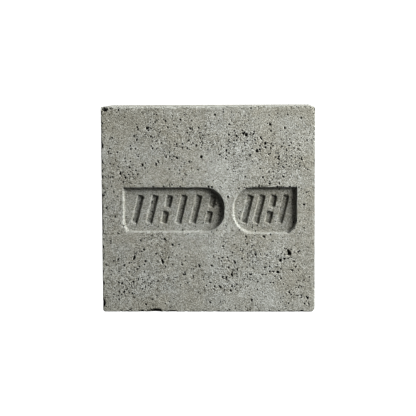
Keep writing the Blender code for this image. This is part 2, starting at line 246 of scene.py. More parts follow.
# The wear of the arrises: how far from them it reaches, and how deep the nibbles are and between which
# heights of the noise they set in
WEAR_FADE = (0.4 * MM, 2.6 * MM)
NIBBLE_DEPTH = 1.2 * MM
NIBBLE_RANGE = (0.2, 1.1)

# The marked face's head arris is rubbed to a slope, which dies out towards the right
RUBBED_DEPTH = 0.8 * MM
RUBBED_WIDTH = 1.6 * MM
RUBBED_START = 1.1
RUBBED_ALONG = (-50 * MM, 40 * MM)

# How strongly wear and a painted highlight show at the panels' lips, at all arrises and at the rubbed
# one, and how far from each they fade
PANEL_LIP = 0.4
PANEL_LIP_MIDDLE = 0.1 * MM
PANEL_LIP_FADE = (0.3 * MM, 1.1 * MM)
ARRIS_LIP = 0.5
ARRIS_LIP_FADE = (0.4 * MM, 1.4 * MM)
RUBBED_LIP = 2.6
RUBBED_LIP_RANGE = (0, 0.3)

# Soft noises, as (height, size of the lumps, seed)
OUTLINE_NOISES = [(0.22 * MM, 1.6 * MM, 11), (0.18 * MM, 5 * MM, 12)]
HOLLOW_NOISES = [(0.16, 0.9 * MM, 21)]
CROWDING_NOISES = [(0.35, 26 * MM, 31), (0.35, 8 * MM, 32)]
NIBBLE_NOISES = [(1.0, 3.2 * MM, 51), (0.6, 1.3 * MM, 52)]
SOFTENING_NOISES = [(0.05 * MM, 9 * MM, 53)]
WAVE_NOISES = [(0.05 * MM, 45 * MM, 61), (0.03 * MM, 12 * MM, 62)]

# The large odd numbers that mix a cell's coordinates and seed, and the shifts that fold them
HASH_FACTORS = (0x8DA6B343, 0xD8163841, 0xCB1AB31F)
HASH_SEED_FACTOR = 2654435761
HASH_FOLDS = ((15, 0x2C1B3C6D), (12, 0x297A2D39))
HASH_RANGE = 2**32

# What keeps a noise's cells numbered above 0, a division from being by nothing, a point that is in no
# outline outside them all, and the marked face's points apart from its rims'
CELL_OFFSET = 1000
SMALLEST_LENGTH = 1e-12
FAR_OUTSIDE = -1.0
FACING_FORWARD = -0.99

# How far from its middle a hollow can reach, in its largest half size, and the deepest that a point
# is down in a panel, in the panel's depths
HOLLOW_REACH = 1.3
DEEPEST_SUNK = 1.5


def hashed(cells, seed):
    """A number from -1 to 1 for each whole-numbered cell: its coordinates times large odd numbers,
    mixed together and folded twice."""
    mixed = np.full(cells.shape[:-1], seed * HASH_SEED_FACTOR % HASH_RANGE, dtype=np.uint32)
    for axis, factor in enumerate(HASH_FACTORS):
        mixed ^= cells[..., axis].astype(np.uint32) * np.uint32(factor)
    for shift, factor in HASH_FOLDS:
        mixed ^= mixed >> np.uint32(shift)
        mixed *= np.uint32(factor)
    mixed ^= mixed >> np.uint32(HASH_FOLDS[0][0])
    return mixed / (HASH_RANGE / 2) - 1


def soft_noise(points, size, seed):
    """Soft noise from -1 to 1 with lumps about the size asked: random numbers at the corners of
    cubes of that size, blended between the corners by the curve 3t^2 - 2t^3."""
    scaled = points / size + CELL_OFFSET
    base = np.floor(scaled)
    part = scaled - base
    blend = part * part * (3 - 2 * part)
    cells = base.astype(np.int64)
    total = np.zeros(len(points))
    for corner in np.ndindex(2, 2, 2):
        weight = np.prod(np.where(corner, blend, 1 - blend), axis=-1)
        total += weight * hashed(cells + corner, seed)
    return total


def noises(points, rows, lift=0):
    """The sum of soft noises, each lifted by the same amount and then multiplied by its height."""
    return sum(height * (lift + soft_noise(points, size, seed)) for height, size, seed in rows)


def ramp(values, low, high):
    """0 below low, 1 above high, and the curve 3t^2 - 2t^3 between them."""
    t = np.clip((values - low) / (high - low), 0, 1)
    return t * t * (3 - 2 * t)


def corner_radii(x, z):
    """The radius of the block's corner in the quarter of the marked face that each point is in."""
    upper = np.where(x < 0, UPPER_LEFT_RADIUS, UPPER_RIGHT_RADIUS)
    lower = np.where(x < 0, LOWER_LEFT_RADIUS, LOWER_RIGHT_RADIUS)
    return np.where(z > 0, upper, lower)


def rounded_block(points):
    """Points of the box drawn onto the rounded block, and the outward normals there.

    Seen from the marked face, a corner's square is squeezed radially into its quarter disc. Then
    each rim's square section is squeezed radially into a quarter circle of the rim's radius.
    """
    local = points - BOX_MIDDLE
    sign = np.where(local < 0, -1.0, 1.0)
    reach = np.abs(local)
    radii = corner_radii(local[:, ACROSS], local[:, UP])
    core = np.stack([HALF_SIZE[ACROSS] - radii, HALF_SIZE[UP] - radii], axis=-1)
    flat = reach[:, [ACROSS, UP]]
    beyond = np.maximum(flat - core, 0)
    length = np.maximum(np.hypot(beyond[:, 0], beyond[:, 1]), SMALLEST_LENGTH)
    squeezed = beyond.max(axis=1)
    direction = beyond / length[:, None]
    sideways = np.maximum(squeezed - (radii - RIM_RADIUS), 0)
    endways = np.maximum(reach[:, INTO] - (HALF_SIZE[INTO] - RIM_RADIUS), 0)
    across_rim = np.maximum(np.hypot(sideways, endways), SMALLEST_LENGTH)
    shrink = np.maximum(sideways, endways) / across_rim
    spread = squeezed - sideways + sideways * shrink
    placed = np.empty_like(local)
    placed[:, [ACROSS, UP]] = np.where(beyond > 0, core + direction * spread[:, None], flat)
    placed[:, INTO] = reach[:, INTO] - endways + endways * shrink
    normals = np.empty_like(local)
    normals[:, [ACROSS, UP]] = direction * (sideways / across_rim)[:, None]
    normals[:, INTO] = endways / across_rim
    return placed * sign + BOX_MIDDLE, normals * sign


def inside_outline(x, z, half_width, half_height, radii):
    """How far each point is inside a rectangle about the origin whose corners are rounded.

    The radii are for the lower right, upper right, upper left and lower left corners. The distance
    to the sides is measured straight, and to a corner from its arc's middle.
    """
    lower_right, upper_right, upper_left, lower_left = radii
    radius = np.where(
        z > 0, np.where(x > 0, upper_right, upper_left), np.where(x > 0, lower_right, lower_left)
    )
    over_x = np.abs(x) - half_width + radius
    over_z = np.abs(z) - half_height + radius
    outside = np.hypot(np.maximum(over_x, 0), np.maximum(over_z, 0))
    return radius - outside - np.minimum(np.maximum(over_x, over_z), 0)


Panel = namedtuple("Panel", "left width height radii cuts round_side")


def panels():
    """The long panel, whose right end is round, and the short one, whose left end is.

    The short one reaches a little lower. The foot of each one's other end is cut across.
    """
    left = BOX_LOW[ACROSS] + LEFT_MARGIN
    short_left = BOX_HIGH[ACROSS] - RIGHT_MARGIN - SHORT_PANEL_WIDTH
    long_width = short_left - PANEL_GAP - left
    short_height = PANEL_HEIGHT + SHORT_PANEL_DROP
    round_right = (ROUND_END_RADIUS, ROUND_END_RADIUS, 0, 0)
    round_left = (0, 0, ROUND_END_RADIUS, ROUND_END_RADIUS)
    return [
        Panel(left, long_width, PANEL_HEIGHT, round_right, WORN_FOOT, 1),
        Panel(short_left, SHORT_PANEL_WIDTH, short_height, round_left, SPLAYED_FOOT, -1),
    ]


def stroke_middles(panel):
    """Where a panel's strokes stand: about the pitch apart, filling its width with room at the ends."""
    end_radius = PANEL_HEIGHT / 2
    rise = end_radius - STROKE_HEAD_ROOM
    narrowing = end_radius - math.sqrt(end_radius**2 - rise**2)
    half_spread = rise * math.tan(STROKE_SLANT) + STROKE_WIDTH / 2 / math.cos(STROKE_SLANT)
    first = panel.left + STROKE_SIDE_ROOM + half_spread
    last = panel.left + panel.width - STROKE_SIDE_ROOM - half_spread
    side_room_kept = STROKE_SIDE_ROOM - PANEL_DRAFT
    if panel.round_side < 0:
        first += narrowing - side_room_kept
    else:
        last -= narrowing - side_room_kept
    gaps = max(1, round((last - first) / STROKE_PITCH))
    return [first + (last - first) * index / gaps for index in range(gaps + 1)]


def inside_panels(x, z):
    """How far each point is inside the nearer panel's outline, less than 0 outside both.

    The distance to a cut across the foot of the outer end is measured square to the cut.
    """
    nearest = np.full(len(x), FAR_OUTSIDE)
    for panel in panels():
        across = x - panel.left - panel.width / 2
        up = z - BOX_MIDDLE[UP] - (PANEL_HEIGHT - panel.height) / 2
        inside = inside_outline(across, up, panel.width / 2, panel.height / 2, panel.radii)
        from_outer_end = panel.width / 2 + panel.round_side * across
        from_foot = panel.height / 2 + up
        for width, height in panel.cuts:
            beyond_cut = from_outer_end / width + from_foot / height - 1
            inside = np.minimum(inside, beyond_cut / math.hypot(1 / width, 1 / height))
        nearest = np.maximum(nearest, inside)
    return nearest


def inside_strokes(x, z):
    """How far each point is inside the nearest stroke's outline, less than 0 outside them all.

    Every third stroke is two halves with a break between them.
    """
    rise = PANEL_HEIGHT - 2 * STROKE_HEAD_ROOM
    length = (rise - STROKE_WIDTH * math.sin(STROKE_SLANT)) / math.cos(STROKE_SLANT)
    half = (length - STROKE_BREAK) / 2
    radii = [STROKE_CORNER_RADIUS] * 4
    nearest = np.full(len(x), FAR_OUTSIDE)
    for panel in panels():
        for number, middle in enumerate(stroke_middles(panel), start=1):
            across = x - middle
            up = z - BOX_MIDDLE[UP]
            along = across * math.sin(STROKE_SLANT) + up * math.cos(STROKE_SLANT)
            aside = across * math.cos(STROKE_SLANT) - up * math.sin(STROKE_SLANT)
            pieces = [(0, length)]
            if number % BROKEN_EVERY == 0:
                pieces = [(-(half + STROKE_BREAK) / 2, half), ((half + STROKE_BREAK) / 2, half)]
            for piece_middle, piece_length in pieces:
                inside = inside_outline(
                    aside, along - piece_middle, STROKE_WIDTH / 2, piece_length / 2, radii
                )
                nearest = np.maximum(nearest, inside)
    return nearest


def sunk_profile(inside, draft, depth, wear):
    """Depth of a wall that leans in by the draft, with its lip and foot eased by the wear.

    The straight slope is averaged over a stretch as wide as the wear.
    """
    def area_under(values):
        rising = np.clip(values, 0, draft)
        return rising**2 / (2 * draft) + np.maximum(values - draft, 0)

    return depth * (area_under(inside + wear / 2) - area_under(inside - wear / 2)) / wear


def marked_depth(points):
    """How deep the panels and their strokes are at each point of the marked face.

    The outlines wander a little with soft noise, because the lips have crumbled.
    """
    x = points[:, ACROSS]
    z = points[:, UP]
    ragged = noises(points, OUTLINE_NOISES)
    panel = sunk_profile(inside_panels(x, z) + ragged, PANEL_DRAFT, PANEL_DEPTH, LIP_WEAR)
    stroke = sunk_profile(inside_strokes(x, z) + ragged, STROKE_DRAFT, STROKE_DEPTH, LIP_WEAR)
    return panel + stroke


# A hollow: the side that it is in, its middle, its two axes in that side, and its half sizes there
# and inwards
Hollow = namedtuple("Hollow", "side middle first_axis second_axis half_sizes")


def hollow_in(side, along_first, along_second, half_first, half_second, depth, lean):
    """A half-sunk stretched ball, turned in its side by the lean, with its middle in the side."""
    middle = BOX_MIDDLE.copy()
    middle[side.facing] += side.outwards * HALF_SIZE[side.facing]
    middle[side.first] = along_first
    middle[side.second] = along_second
    first_axis = np.zeros(3)
    first_axis[side.first] = math.cos(lean)
    first_axis[side.second] = math.sin(lean)
    second_axis = np.zeros(3)
    second_axis[side.first] = -math.sin(lean)
    second_axis[side.second] = math.cos(lean)
    return Hollow(side, middle, first_axis, second_axis, (half_first, half_second, depth))


def noted_hollows():
    """The hollows that are listed one by one in the marked face. A lean to the right is a turn back.

    A pore is a little taller than wide, and as deep as it is wide.
    """
    leaning = [
        hollow_in(
            MARKED_FACE, x * MM, z * MM, half_width * MM, half_height * MM, depth * MM,
            -math.radians(lean),
        )
        for x, z, half_width, half_height, depth, lean in LARGE_HOLLOWS + SMALL_HOLLOWS
    ]
    pores = [
        hollow_in(MARKED_FACE, x * MM, z * MM, *(share * half * MM for share in PORE_SHARES), 0)
        for x, z, half in PORES
    ]
    return leaning + pores


def soft_patches(points, patches):
    """The sum of soft oval patches of the marked face: each is its strength times exp(-r^2), where r
    is the distance from its middle in half sizes. They fade out down the sides of the block."""
    total = np.zeros(len(points))
    for x, z, half_width, half_height, lean, strength in patches:
        across = points[:, ACROSS] / MM - x
        up = points[:, UP] / MM - z
        turn = math.radians(lean)
        along = (across * math.cos(turn) - up * math.sin(turn)) / half_width
        aside = (across * math.sin(turn) + up * math.cos(turn)) / half_height
        total += strength * np.exp(-(along**2) - aside**2)
    return total * (1 - ramp(points[:, INTO] - BOX_LOW[INTO], HIDDEN_FROM, HIDDEN_TO))


def crowding(points):
    """How crowded the air holes are at each point, from 0 to 1: the patches seen in the marked face,
    broken up by soft noise, which alone makes the patches of the other sides.

    They are fewer in the panels and on the other sides.
    """
    amount = soft_patches(points, CROWDED_PATCHES) + noises(points, CROWDING_NOISES)
    behind = ramp(points[:, INTO] - BOX_LOW[INTO], HIDDEN_FROM, HIDDEN_TO)
    inside = inside_panels(points[:, ACROSS], points[:, UP])
    in_panel = ramp(inside, *IN_PANEL) * (1 - behind)
    return ramp(amount - FEWER_IN_PANELS * in_panel - FEWER_BEHIND * behind, *CROWDING_RANGE)


def scattered_hollows(side, number, seed, smallest, largest):
    """Air holes thrown at random over a side, kept more often where they crowd.

    Small ones are more common: the radius runs from the smallest to the largest by the square of a
    random number.
    """
    rng = np.random.default_rng(seed)
    tries = TRIES_PER_HOLLOW * number
    middles = np.tile(BOX_MIDDLE, (tries, 1))
    middles[:, side.facing] += side.outwards * HALF_SIZE[side.facing]
    for axis in (side.first, side.second):
        room = HALF_SIZE[axis] - ARRIS_ROOM
        middles[:, axis] += rng.uniform(-room, room, tries)
    kept = middles[rng.random(tries) < crowding(middles)][:number]
    radii = smallest + (largest - smallest) * rng.random(len(kept)) ** 2
    stretch = rng.uniform(*HOLLOW_STRETCHES, len(kept))
    leans = rng.uniform(0, math.pi, len(kept))
    depths = radii * rng.uniform(*HOLLOW_DEPTH_SHARES, len(kept))
    return [
        hollow_in(side, middle[side.first], middle[side.second], radius, radius * long, depth, lean)
        for middle, radius, long, depth, lean in zip(kept, radii, stretch, depths, leans)
    ]


def all_hollows():
    """The listed hollows, and then each side's random ones."""
    hollows = noted_hollows()
    for row in SCATTERED_HOLLOWS:
        hollows += scattered_hollows(*row)
    return hollows


def hollow_travel(points, normals, hollows):
    """How far inwards each point must go to leave every ball that it is in, and how deep in its hollow
    that is, from 0 to 1.

    With the ball scaled to radius 1, the way out along the inward normal is the larger root of a
    quadratic. The ball's outline is ragged by soft noise.
    """
    travel = np.zeros(len(points))
    share = np.zeros(len(points))
    ragged = 1 + noises(points, HOLLOW_NOISES)
    for hollow in hollows:
        inward_axis = np.zeros(3)
        inward_axis[hollow.side.facing] = -hollow.side.outwards
        reach = HOLLOW_REACH * max(hollow.half_sizes)
        near = np.flatnonzero(np.all(np.abs(points - hollow.middle) < reach, axis=1))
        if len(near) == 0:
            continue
        axes = np.stack([hollow.first_axis, hollow.second_axis, inward_axis], axis=1)
        scaled_axes = axes / np.array(hollow.half_sizes)
        place = (points[near] - hollow.middle) @ scaled_axes * ragged[near, None]
        heading = -normals[near] @ scaled_axes
        a = np.sum(heading**2, axis=1)
        b = np.sum(place * heading, axis=1)
        c = np.sum(place**2, axis=1) - 1
        out = (-b + np.sqrt(np.maximum(b * b - a * c, 0))) / a
        out = np.where(c < 0, out, 0)
        travel[near] = np.maximum(travel[near], out)
        share[near] = np.maximum(share[near], np.clip(out / hollow.half_sizes[2], 0, 1))
    return travel, share


def fine_points(side):
    """The middles of the finest cells of a side, as a grid of points on the box."""
    first = BOX_LOW[side.first] + (np.arange(FINE_CELLS[side.first]) + 0.5) * FINE_CELL[side.first]
    second = BOX_LOW[side.second] + (np.arange(FINE_CELLS[side.second]) + 0.5) * FINE_CELL[side.second]
    grid = np.empty((len(first), len(second), 3))
    grid[..., side.facing] = BOX_MIDDLE[side.facing] + side.outwards * HALF_SIZE[side.facing]
    grid[..., side.first] = first[:, None]
    grid[..., side.second] = second[None, :]
    return grid


def halvings_wanted(side, hollows):
    """How often the widest cell is halved at each of a side's finest cells.

    The marked face's lips, walls, strokes and hollows, and the arrises round it, ask for all the
    halvings. Other arrises and the hollows of the plainer sides ask for one less.
    """
    grid = fine_points(side)
    wanted = np.zeros(grid.shape[:2], dtype=int)
    edge_band = MARKED_EDGE_BAND if side == MARKED_FACE else PLAIN_EDGE_BAND
    for axis in (side.first, side.second):
        gap = HALF_SIZE[axis] - np.abs(grid[..., axis] - BOX_MIDDLE[axis])
        wanted[gap < edge_band] = HALVINGS - 1
    gaps = np.sort(HALF_SIZE - np.abs(grid - BOX_MIDDLE), axis=-1)
    by_marked_face = grid[..., INTO] - BOX_LOW[INTO] < ARRIS_BAND
    wanted[by_marked_face & (gaps[..., 1] < ARRIS_BAND)] = HALVINGS
    if side == MARKED_FACE:
        flat = grid.reshape(-1, 3)
        x = flat[:, ACROSS]
        z = flat[:, UP]
        for inside, band in ((inside_panels(x, z), PANEL_BAND), (inside_strokes(x, z), STROKE_BAND)):
            in_band = (inside > band[0]) & (inside < band[1])
            wanted[in_band.reshape(wanted.shape)] = HALVINGS
    plane = BOX_MIDDLE[side.facing] + side.outwards * HALF_SIZE[side.facing]
    for hollow in hollows:
        middle = hollow.middle
        reach = max(hollow.half_sizes[:2]) * HOLLOW_BAND_SHARE + HOLLOW_BAND
        if abs(middle[side.facing] - plane) > reach:
            continue
        level = HALVINGS if hollow.side == MARKED_FACE else HALVINGS - 1
        window = []
        for axis in (side.first, side.second):
            place = (middle[axis] - BOX_LOW[axis]) / FINE_CELL[axis]
            spread = reach / FINE_CELL[axis]
            window.append(slice(max(0, int(place - spread)), max(0, int(place + spread) + 1)))
        part = wanted[window[0], window[1]]
        away = np.linalg.norm(grid[window[0], window[1]] - middle, axis=-1)
        part[away < reach] = np.maximum(part[away < reach], level)
    return wanted


def any_in_blocks(mask, size):
    """Whether any cell is marked in each square block of the size asked."""
    rows, columns = mask.shape
    return mask.reshape(rows // size, size, columns // size, size).any(axis=(1, 3))


def with_neighbours(mask):
    """The marked cells and the eight cells round each of them."""
    padded = np.pad(mask, 1)
    rows, columns = mask.shape
    return np.logical_or.reduce(
        [padded[i:i + rows, j:j + columns] for i in range(3) for j in range(3)]
    )


def leaf_cells(wanted):
    """The corner and width, in fine cells, of each cell of a side after the halvings.

    A block is halved where its cells ask for it, or where it touches a block that is halved once
    more, so that neighbours differ by one halving at most.
    """
    split = {}
    for level in reversed(range(HALVINGS)):
        split[level] = any_in_blocks(wanted > level, FINE_STEPS >> level)
        if level + 1 in split:
            split[level] |= any_in_blocks(with_neighbours(split[level + 1]), 2)
    corners = []
    widths = []
    for level in range(HALVINGS + 1):
        width = FINE_STEPS >> level
        if level == 0:
            present = np.ones_like(split[0])
        else:
            present = split[level - 1].repeat(2, axis=0).repeat(2, axis=1)
        if level < HALVINGS:
            present = present & ~split[level]
        found = np.argwhere(present) * width
        corners.append(found)
        widths.append(np.full(len(found), width))
    return np.concatenate(corners), np.concatenate(widths)


def cell_outlines(side, wanted):
    """Eight lattice places round each cell of a side, anticlockwise from outside: four corners with a
    middle of the edge after each, and which of the places may be used. The narrowest cells have
    no middles."""
    corners, widths = leaf_cells(wanted)
    halves = widths // 2
    steps = [(0, 0), (1, 0), (2, 0), (2, 1), (2, 2), (1, 2), (0, 2), (0, 1)]
    places = np.empty((len(corners), 8, 3), dtype=np.int64)
    places[..., side.facing] = FINE_CELLS[side.facing] if side.outwards > 0 else 0
    for number, (along_first, along_second) in enumerate(steps):
        reach = [
            np.where(step == 2, widths, halves * step) for step in (along_first, along_second)
        ]
        places[:, number, side.first] = corners[:, 0] + reach[0]
        places[:, number, side.second] = corners[:, 1] + reach[1]
    usable = np.ones((len(corners), 8), dtype=bool)
    usable[:, 1::2] = (widths > 1)[:, None]
    return places, usable


def lattice(hollows):
    """The closed lattice over the six sides: lattice places, and each cell's loop of places.

    A middle of an edge joins a cell's loop only where it is a corner of a smaller neighbour.
    """
    outlines = [cell_outlines(side, halvings_wanted(side, hollows)) for side in SIDES]
    places = np.concatenate([part[0] for part in outlines])
    usable = np.concatenate([part[1] for part in outlines])
    spans = FINE_CELLS + 1
    keys = (places[..., 0] * spans[1] + places[..., 1]) * spans[2] + places[..., 2]
    corner_keys = np.unique(keys[:, 0::2])
    index = np.searchsorted(corner_keys, keys).clip(max=len(corner_keys) - 1)
    present = usable & (corner_keys[index] == keys)
    loops = index[present]
    loop_totals = present.sum(axis=1)
    rest, up = np.divmod(corner_keys, spans[2])
    across, into = np.divmod(rest, spans[1])
    return np.stack([across, into, up], axis=1), loops, loop_totals


def rubbed_share(points):
    """How far the marked face's head arris is rubbed to a slope: 1 at the left and 0 at the right."""
    from_head_arris = BOX_HIGH[UP] - points[:, UP] + points[:, INTO] - BOX_LOW[INTO]
    near = np.clip(RUBBED_START - from_head_arris / RUBBED_WIDTH, 0, 1)
    return near * (1 - ramp(points[:, ACROSS], *RUBBED_ALONG))


def from_arris(points):
    """How far each point is from the nearest arris: the second least of its distances to the sides."""
    return np.sort(HALF_SIZE - np.abs(points - BOX_MIDDLE), axis=1)[:, 1]


def arris_wear(points):
    """How far the arrises are worn back: nibbles, which are soft noise above a threshold, a little
    softening all along, and the rubbed slope of the head arris."""
    near = 1 - ramp(from_arris(points), *WEAR_FADE)
    nibbled = NIBBLE_DEPTH * ramp(noises(points, NIBBLE_NOISES), *NIBBLE_RANGE)
    softened = noises(points, SOFTENING_NOISES, lift=1)
    return near * (nibbled + softened) + RUBBED_DEPTH * rubbed_share(points)


def lip_wear_and_highlight(points, marked):
    """How worn a lip looks and how strongly it gets a painted highlight: the most of a soft band along
    the panels' lips, one along the arrises, and a stronger one on the rubbed slope."""
    inside = inside_panels(points[:, ACROSS], points[:, UP])
    by_lip = 1 - ramp(np.abs(inside - PANEL_LIP_MIDDLE), *PANEL_LIP_FADE)
    by_arris = 1 - ramp(from_arris(points), *ARRIS_LIP_FADE)
    rubbed = ramp(rubbed_share(points), *RUBBED_LIP_RANGE)
    worn = np.maximum(np.where(marked, PANEL_LIP * by_lip, 0), ARRIS_LIP * by_arris)
    return np.maximum(worn, RUBBED_LIP * rubbed)


def mesh_of_loops(name, vertices, loops, loop_totals):
    """A smoothly shaded mesh whose faces are the loops of vertex numbers, one after another."""
    mesh = bpy.data.meshes.new(name)
    mesh.vertices.add(len(vertices))
    mesh.vertices.foreach_set("co", vertices.ravel())
    mesh.loops.add(len(loops))
    mesh.loops.foreach_set("vertex_index", loops.astype(np.int32))
    mesh.polygons.add(len(loop_totals))
    starts = np.concatenate([[0], np.cumsum(loop_totals)[:-1]])
    mesh.polygons.foreach_set("loop_start", starts.astype(np.int32))
    mesh.update(calc_edges=True)
    mesh.shade_smooth()
    return mesh


def casting_mesh():
    """The casting: the lattice drawn onto the rounded block and pushed inwards along its normals.

    The push is a gentle wave of the sides, the panels and strokes, the worn arrises and the hollows.
    Attributes keep the tone of the patches, how crowded the air holes are, how deep in a hollow a
    point is, how worn its lip is and how strongly it gets a painted highlight, and how far it is down
    in a panel. The material paints shade by the depths in a hollow and in a panel.
    """
    hollows = all_hollows()
    places, loops, loop_totals = lattice(hollows)
    points, normals = rounded_block(BOX_LOW + BOX_SIZE * places / FINE_CELLS)
    marked = normals[:, INTO] < FACING_FORWARD
    sunk = np.where(marked, marked_depth(points), 0)
    travel, share = hollow_travel(points, normals, hollows)
    push = noises(points, WAVE_NOISES, lift=1) + sunk + arris_wear(points) + travel
    mesh = mesh_of_loops("padstone_cast", points - normals * push[:, None], loops, loop_totals)
    # hollow and sunk give the material's painted shade, and lip its wear and painted highlight
    for name, values in (
        ("tone", soft_patches(points, TONE_PATCHES)),
        ("crowding", crowding(points)),
        ("hollow", share),
        ("lip", lip_wear_and_highlight(points, marked)),
        ("sunk", np.clip(sunk / PANEL_DEPTH, 0, DEEPEST_SUNK)),
    ):
        layer = mesh.attributes.new(name, "FLOAT", "POINT")
        layer.data.foreach_set("value", values.astype(np.float32))
    return mesh


# The concrete's finish. Its nodes work in millimetres, and its bump's distance is in metres
CONCRETE_ROUGHNESS = 0.9
CONCRETE_SPECULAR = 0.25
BUMP_DISTANCE = 0.6 * MM

# The part of the noise that runs from the darkest clouds to the palest, how far from a grain's middle
# its edge is, and a pinhole's least size, how much larger it may be and its flat middle, as shares
CLOUD_RANGE = (0.25, 0.75)
GRAIN_EDGE = 0.75
PINHOLE_LEAST = 0.5
PINHOLE_MORE = 0.7
PINHOLE_FLAT = 0.5

# The cement from its darkest sand to its palest, and its hues from warm to cool, as
# (position, (red, green, blue))
CEMENT_SHADES = [
    (0.0, (0.184, 0.18, 0.152)), (0.5, (0.312, 0.312, 0.281)), (1.0, (0.455, 0.459, 0.430)),
]
CEMENT_HUES = [(0.2, (1.0, 0.984, 0.932)), (0.8, (0.977, 0.995, 1.005))]

# How much each kind of cloud and grain counts in the cement's shade, and the part of their sum that
# runs from the darkest shade to the palest
BROAD_SHARE = 0.09
MIDDLING_SHARE = 0.09
SPECKLE_SHARE = 0.32
SAND_SHARE = 0.15
GRIT_SHARE = 0.35
SHADE_RANGE = (0.33, 0.73)

# The contrast of that shade by how crowded the air holes are, and what is added down in the panels
# and taken off on worn lips
CROWDED_RANGE = (0.1, 0.8)
CONTRAST_RANGE = (0.86, 1.38)
SUNK_CONTRAST = 0.22
WORN_CONTRAST = -0.45

# The share of the cells that have a pinhole, where they are fewest and most crowded, and how many
# fewer there are on worn lips
COARSE_PINHOLES = (0.03, 0.38)
FINE_PINHOLES = (0.1, 0.48)
WORN_PINHOLES = -0.6

# What counts in the cement's hue: clouds of two sizes, the patches, and the worn lips, whose cooler hue
# goes with their wear and painted highlight
CLOUD_COOLNESS = 0.5
PATCH_COOLNESS = 0.35
LIP_WEAR_AND_HIGHLIGHT_COOLNESS = 1.0

# What darkens or lightens the cement: painted shade in the pinholes and in the hollows from their brim
# to their floor, a painted highlight with paler wear on worn lips, the patches, and painted shade by
# how far down in a panel a point is
PINHOLE_PAINTED_SHADE = -0.96
HOLLOW_RANGE = (0.05, 0.8)
HOLLOW_PAINTED_SHADES = (1.0, 0.15)
LIP_WEAR_AND_PAINTED_HIGHLIGHT = 0.08
PATCH_LIGHT = 0.145
SUNK_PAINTED_SHADE = -0.12

# The heights of the sand, from smooth cement to bare sand, and of the grit, speckle and pinholes
SAND_HEIGHTS = (0.2, 0.6)
GRIT_HEIGHT = 0.35
SPECKLE_HEIGHT = 0.5
PINHOLE_HEIGHT = -1.6


def new_group(name, inputs, outputs):
    """An empty shader node group with these named sockets, and its two end nodes."""
    group = bpy.data.node_groups.new(name, "ShaderNodeTree")
    for socket, kind, value in inputs:
        made = group.interface.new_socket(socket, in_out="INPUT", socket_type=kind)
        if value is not None:
            made.default_value = value
    for socket, kind in outputs:
        group.interface.new_socket(socket, in_out="OUTPUT", socket_type=kind)
    return group, group.nodes.new("NodeGroupInput"), group.nodes.new("NodeGroupOutput")


def calculate(tree, operation, *values):
    """A Math node. Each value is a socket or a number."""
    node = tree.nodes.new("ShaderNodeMath")
    node.operation = operation
    for socket, value in zip(node.inputs, values):
        if isinstance(value, (int, float)):
            socket.default_value = value
        else:
            tree.links.new(value, socket)
    return node.outputs[0]


def plus_share(tree, total, value, share):
    """The total, which is a socket or a number, and a share of the value added to it."""
    return calculate(tree, "ADD", total, calculate(tree, "MULTIPLY", value, share))


def spread_between(tree, value, low, high, to_low=0.0, to_high=1.0, soft=True):
    """A Map Range node from low..high to to_low..to_high, held at both ends."""
    node = tree.nodes.new("ShaderNodeMapRange")
    node.interpolation_type = "SMOOTHSTEP" if soft else "LINEAR"
    tree.links.new(value, node.inputs["Value"])
    for name, number in (
        ("From Min", low), ("From Max", high), ("To Min", to_low), ("To Max", to_high)
    ):
        if isinstance(number, (int, float)):
            node.inputs[name].default_value = number
        else:
            tree.links.new(number, node.inputs[name])
    return node.outputs["Result"]


def one_over(tree, size):
    """The scale of a texture whose features are of the size asked."""
    return calculate(tree, "DIVIDE", 1.0, size)


def colour_ramp(tree, factor, stops):
    """A Color Ramp node through the stops, which are its positions and colours in order."""
    node = tree.nodes.new("ShaderNodeValToRGB")
    elements = node.color_ramp.elements
    elements[0].position = stops[0][0]
    elements[0].color = (*stops[0][1], 1)
    elements[1].position = stops[-1][0]
    elements[1].color = (*stops[-1][1], 1)
    for position, colour in stops[1:-1]:
        elements.new(position).color = (*colour, 1)
    tree.links.new(factor, node.inputs["Fac"])
    return node.outputs["Color"]


def mottle_group():
    """Cloudy tone of the cement: soft noise of the size asked, from 0 to 1 about a half."""
    group, given, put = new_group(
        "cement clouds",
        [
            ("Place", "NodeSocketVector", None),
            ("Cloud Size", "NodeSocketFloat", 20.0),
            ("Detail", "NodeSocketFloat", 3.0),
            ("Distortion", "NodeSocketFloat", 0.4),
        ],
        [("Tone", "NodeSocketFloat")],
    )
    noise = group.nodes.new("ShaderNodeTexNoise")
    group.links.new(given.outputs["Place"], noise.inputs["Vector"])
    group.links.new(one_over(group, given.outputs["Cloud Size"]), noise.inputs["Scale"])
    group.links.new(given.outputs["Detail"], noise.inputs["Detail"])
    group.links.new(given.outputs["Distortion"], noise.inputs["Distortion"])
    tone = spread_between(group, noise.outputs["Fac"], *CLOUD_RANGE, soft=False)
    group.links.new(tone, put.inputs["Tone"])
    return group


def grain_group():
    """Sand in the cement: each grain, a cell of the size asked, has its own tone and height."""
    group, given, put = new_group(
        "sand grain",
        [
            ("Place", "NodeSocketVector", None),
            ("Grain Size", "NodeSocketFloat", 1.5),
        ],
        [("Tone", "NodeSocketFloat"), ("Height", "NodeSocketFloat")],
    )
    cells = group.nodes.new("ShaderNodeTexVoronoi")
    cells.feature = "F1"
    group.links.new(given.outputs["Place"], cells.inputs["Vector"])
    group.links.new(one_over(group, given.outputs["Grain Size"]), cells.inputs["Scale"])
    tones = group.nodes.new("ShaderNodeSeparateColor")
    group.links.new(cells.outputs["Color"], tones.inputs["Color"])
    group.links.new(tones.outputs["Red"], put.inputs["Tone"])
    dome = spread_between(group, cells.outputs["Distance"], 0.0, GRAIN_EDGE, 1.0, 0.0)
    height = calculate(group, "MULTIPLY", dome, tones.outputs["Green"])
    group.links.new(height, put.inputs["Height"])
    return group


